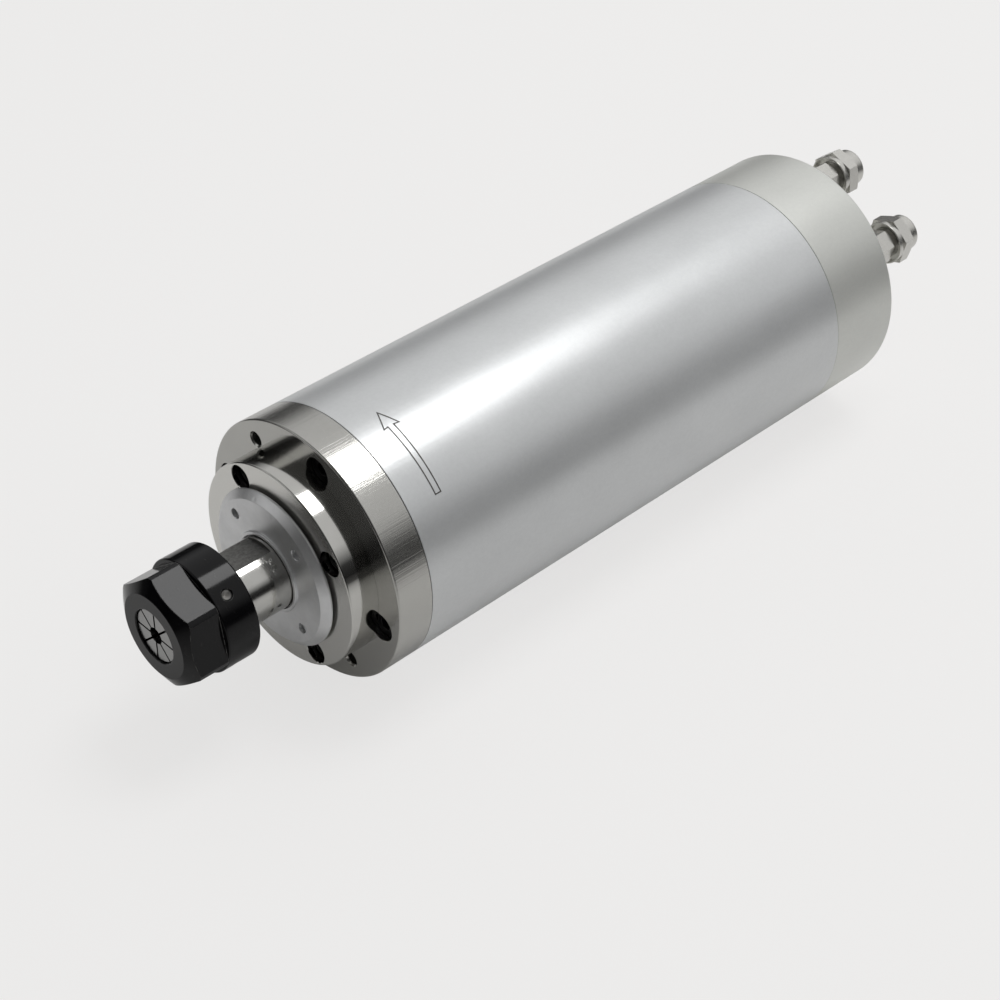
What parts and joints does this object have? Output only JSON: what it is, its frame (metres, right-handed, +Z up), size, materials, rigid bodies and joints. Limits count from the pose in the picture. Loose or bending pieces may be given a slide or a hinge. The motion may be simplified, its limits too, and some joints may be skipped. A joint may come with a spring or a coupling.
{
  "type": "motor spindle",
  "caption": "Water-cooled cylindrical motor spindle with collet nut, rotating dust cover, flanged nose, hose unions and panel power connector.",
  "frame": {"origin": "centre of the flange's front face, on the spindle axis", "axes": "Y along the spindle axis with the nose toward -Y and the hose unions toward +Y, Z up, X to the right seen from the nose end looking along +Y"},
  "size_m": [0.065, 0.2318, 0.065],
  "materials": {
    "flange_steel": "fine ground, slightly warm",
    "gland_steel": "polished side, ground face",
    "tube_steel": "brushed round the tube",
    "cover_aluminium": "satin turned",
    "shaft_steel": "polished, scuffed",
    "nut_black": "black oxide, semi-gloss",
    "collet_steel": "bright ground",
    "screw_black": "black oxide",
    "screw_steel": "plain stainless",
    "fitting_nickel": "nickel plated",
    "connector_zinc": "plated",
    "connector_plastic": "black phenolic",
    "pin_gold": "gold flash",
    "bearing_steel": "ground",
    "core_steel": "stacked laminations, varnished",
    "winding_copper": "enamelled copper wire",
    "rotor_aluminium": "cast",
    "jacket_aluminium": "turned",
    "seal_rubber": "black"
  },
  "bodies": {
    "housing": {"front_flange": "flange_steel", "front_gland": "gland_steel", "gland_screws": "screw_black", "flange_screws": "screw_black", "outer_tube": "tube_steel", "water_jacket": "jacket_aluminium", "tube_seals": "seal_rubber", "stator_core": "core_steel", "stator_winding": "winding_copper", "front_bearing_1_outer": "bearing_steel", "front_bearing_2_outer": "bearing_steel", "rear_bearing_plate": "jacket_aluminium", "rear_bearing_outer_ring": "bearing_steel", "preload_spring": "bearing_steel", "rear_cap": "flange_steel", "rear_cap_screws": "screw_steel", "fitting_base_1": "fitting_nickel", "fitting_base_2": "fitting_nickel", "connector_shell": "connector_zinc", "connector_insulator": "connector_plastic", "connector_pins": "pin_gold", "connector_nut": "connector_zinc"},
    "rotor": {"spindle_shaft": "shaft_steel", "dust_cover": "cover_aluminium", "rotor_core": "core_steel", "rotor_end_rings": "rotor_aluminium", "front_bearing_1_inner": "bearing_steel", "front_bearing_2_inner": "bearing_steel", "bearing_locknut": "screw_steel", "rear_bearing_inner_ring": "bearing_steel", "shaft_clip": "bearing_steel"},
    "collet_body": {"collet": "collet_steel"},
    "collet_nut_body": {"collet_nut": "nut_black", "extraction_ring": "collet_steel"},
    "hose_ferrule_1_body": {"hose_ferrule_1": "fitting_nickel"},
    "hose_nut_1_body": {"hose_nut_1": "fitting_nickel"},
    "hose_ferrule_2_body": {"hose_ferrule_2": "fitting_nickel"},
    "hose_nut_2_body": {"hose_nut_2": "fitting_nickel"}
  },
  "joints": [
    {"name": "shaft_spin", "type": "hinge", "parent": "housing", "child": "rotor", "pos_m": [0, 0, 0], "axis": [0, -1, 0], "continuous": true},
    {"name": "collet_draw", "type": "slide", "parent": "rotor", "child": "collet_body", "axis": [0, -1, 0], "range_m": [0, 0.0045]},
    {"name": "collet_nut_turn", "type": "hinge", "parent": "collet_body", "child": "collet_nut_body", "pos_m": [0, -0.0237, 0], "axis": [0, -1, 0], "range_deg": [0, 1080]},
    {"name": "hose_ferrule_1_draw", "type": "slide", "parent": "housing", "child": "hose_ferrule_1_body", "axis": [0, 1, 0], "range_m": [0, 0.0025]},
    {"name": "hose_nut_1_turn", "type": "hinge", "parent": "hose_ferrule_1_body", "child": "hose_nut_1_body", "pos_m": [0.00191, 0.1812, 0.02543], "axis": [0, 1, 0], "range_deg": [0, 900]},
    {"name": "hose_ferrule_2_draw", "type": "slide", "parent": "housing", "child": "hose_ferrule_2_body", "axis": [0, 1, 0], "range_m": [0, 0.0025]},
    {"name": "hose_nut_2_turn", "type": "hinge", "parent": "hose_ferrule_2_body", "child": "hose_nut_2_body", "pos_m": [0.02146, 0.1812, 0.01378], "axis": [0, 1, 0], "range_deg": [0, 900]}
  ],
  "couplings": [
    {"joint": "collet_draw", "follows": "collet_nut_turn", "m_per_rad": 0.00023873},
    {"joint": "hose_ferrule_1_draw", "follows": "hose_nut_1_turn", "m_per_rad": 0.00015915},
    {"joint": "hose_ferrule_2_draw", "follows": "hose_nut_2_turn", "m_per_rad": 0.00015915}
  ]
}
